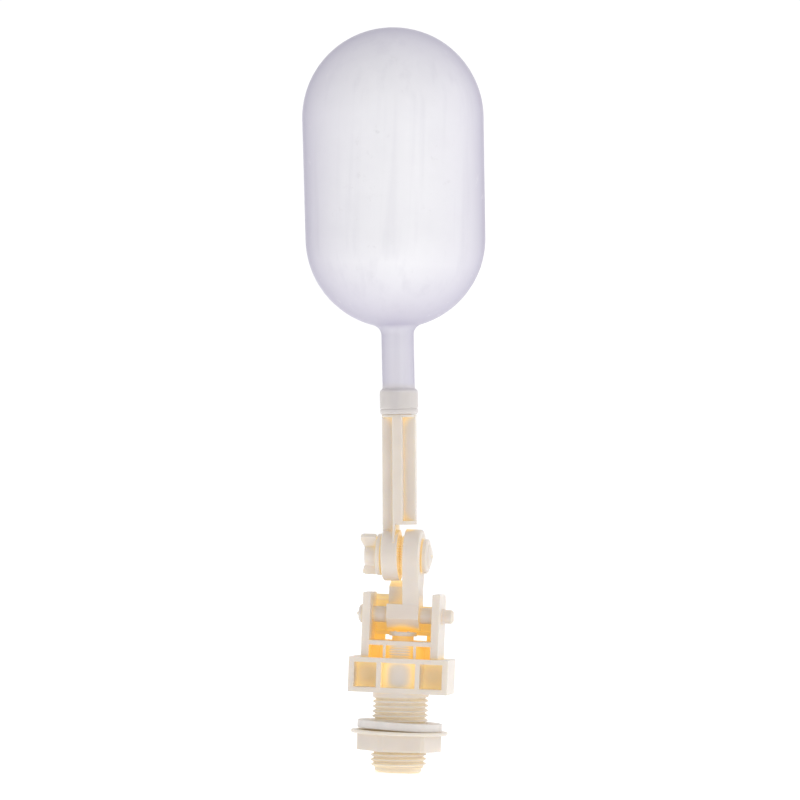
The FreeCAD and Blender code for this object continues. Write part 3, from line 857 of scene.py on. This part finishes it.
# ---- studio -------------------------------------------------------------------------------------

@dataclass(frozen=True)
class Lamp:
    """Soft square lamp: its place, side, power in watts and colour."""

    name: str
    spot: Triple
    size: float
    power: float
    colour: Triple = (1.0, 1.0, 1.0)

    def hang(self, aim: Vector) -> None:
        """Add the lamp to the scene.

        Args:
            aim: the point that it is turned towards.
        """
        lamp = bpy.data.lights.new(self.name, "AREA")
        lamp.size, lamp.energy, lamp.color = self.size, self.power, self.colour
        holder = bpy.data.objects.new(self.name, lamp)
        turn = (aim - Vector(self.spot)).to_track_quat("-Z", "Y").to_matrix().to_4x4()
        holder.matrix_world = Matrix.Translation(self.spot) @ turn
        bpy.context.scene.collection.objects.link(holder)


@dataclass
class Studio:
    """Pale floor, soft light and the camera."""

    azimuth: float = math.radians(8.0)
    roll: float = math.radians(2.2)
    distance: float = 2.5
    field_width: float = 0.2996
    aim_height: float = 0.1094
    aim_side: float = -0.00455
    sensor: float = 36.0
    farthest: float = 20.0
    floor_z: float = -0.0299
    floor_half: float = 3.0
    floor_steps: int = 24
    paper: PalePaper = PalePaper()
    front_y: float = -0.6
    back_y: float = 0.35
    front_strength: float = 0.62
    back_strength: float = 1.04
    lamps: tuple[Lamp, ...] = (
        Lamp("key_right", (1.5, 0.35, 0.75), size=1.1, power=2.5, colour=(1.0, 0.99, 0.98)),
        Lamp("highlight", (0.91, -1.71, 0.59), size=0.35, power=2.6),
        Lamp("top", (0.1, -0.2, 1.6), size=1.2, power=1.5))

    def floor(self) -> None:
        """Lay a flat, even grid of pale paper at the foot of the shank."""
        line = np.linspace(-self.floor_half, self.floor_half, self.floor_steps)
        x, y = np.meshgrid(line, line)
        points = np.stack([x, y, np.full_like(x, self.floor_z)], axis=-1).reshape(-1, 3)
        grid = np.arange(len(points)).reshape(self.floor_steps, self.floor_steps)
        quads = np.stack([grid[:-1, :-1], grid[:-1, 1:], grid[1:, 1:], grid[1:, :-1]], axis=-1)
        sheet = mesh_object("floor", points, [quads.reshape(-1, 4)])
        sheet.data.materials.append(self.paper.make())

    def world(self) -> None:
        """White surroundings, brighter behind the object than in front of it."""
        world = bpy.data.worlds.new("white_tent")
        bpy.context.scene.world = world
        world.use_nodes = True
        tree = world.node_tree
        back = tree.nodes["Background"]
        place = tree.nodes.new("ShaderNodeTexCoord")
        split = tree.nodes.new("ShaderNodeSeparateXYZ")
        ramp = tree.nodes.new("ShaderNodeMapRange")
        for key, value in (("From Min", self.front_y), ("From Max", self.back_y),
                           ("To Min", self.front_strength), ("To Max", self.back_strength)):
            ramp.inputs[key].default_value = value
        tree.links.new(place.outputs["Generated"], split.inputs[0])
        tree.links.new(split.outputs["Y"], ramp.inputs["Value"])
        tree.links.new(ramp.outputs["Result"], back.inputs["Strength"])
        back.inputs["Color"].default_value = WHITE

    def camera(self, middle: Vector) -> None:
        """Long lens, level with the middle of the object and turned a little about its own axis.

        Args:
            middle: the middle of the object on the shank's axis.
        """
        right = Vector((math.cos(self.azimuth), math.sin(self.azimuth), 0))
        away = Vector((math.sin(self.azimuth), -math.cos(self.azimuth), 0))
        aim = middle + right * self.aim_side
        data = bpy.data.cameras.new("camera")
        data.sensor_width = self.sensor
        data.lens = self.sensor * self.distance / self.field_width
        data.clip_end = self.farthest
        camera = bpy.data.objects.new("camera", data)
        turn = (-away).to_track_quat("-Z", "Y").to_matrix().to_4x4()
        camera.matrix_world = (Matrix.Translation(aim + away * self.distance) @ turn
                               @ Matrix.Rotation(self.roll, 4, "Z"))
        bpy.context.scene.collection.objects.link(camera)
        bpy.context.scene.camera = camera

    def build(self) -> None:
        """Set up the whole studio."""
        middle = Vector((0, 0, self.aim_height))
        self.world()
        self.floor()
        for lamp in self.lamps:
            lamp.hang(middle)
        self.camera(middle)
        bpy.context.scene.view_settings.view_transform = "Standard"


def main() -> None:
    """Load the frame, dress the CAD pieces, build the new ones and set up the studio."""
    logging.basicConfig(level=logging.INFO, format="%(name)s: %(message)s")
    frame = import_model()
    for group in (
            CadPieces(ROOMY_PLASTIC, ("valve_body", "lever", "plunger")),
            CadPieces(FINNED_PLASTIC, ("pivot_pin", "knuckle_bolt", "float_arm", "thumb_washer",
                                       "wing_nut", "flange_nut")),
            CadPieces(BLACK_RUBBER, ("seal_disc",))):
        group.dress(frame)
    for maker in (FloatVessel(), TankGasket()):
        piece = maker.build()
        LOG.info("built %s with %d faces", piece.name, len(piece.data.polygons))
    Studio().build()


if __name__ == "__main__":
    main()
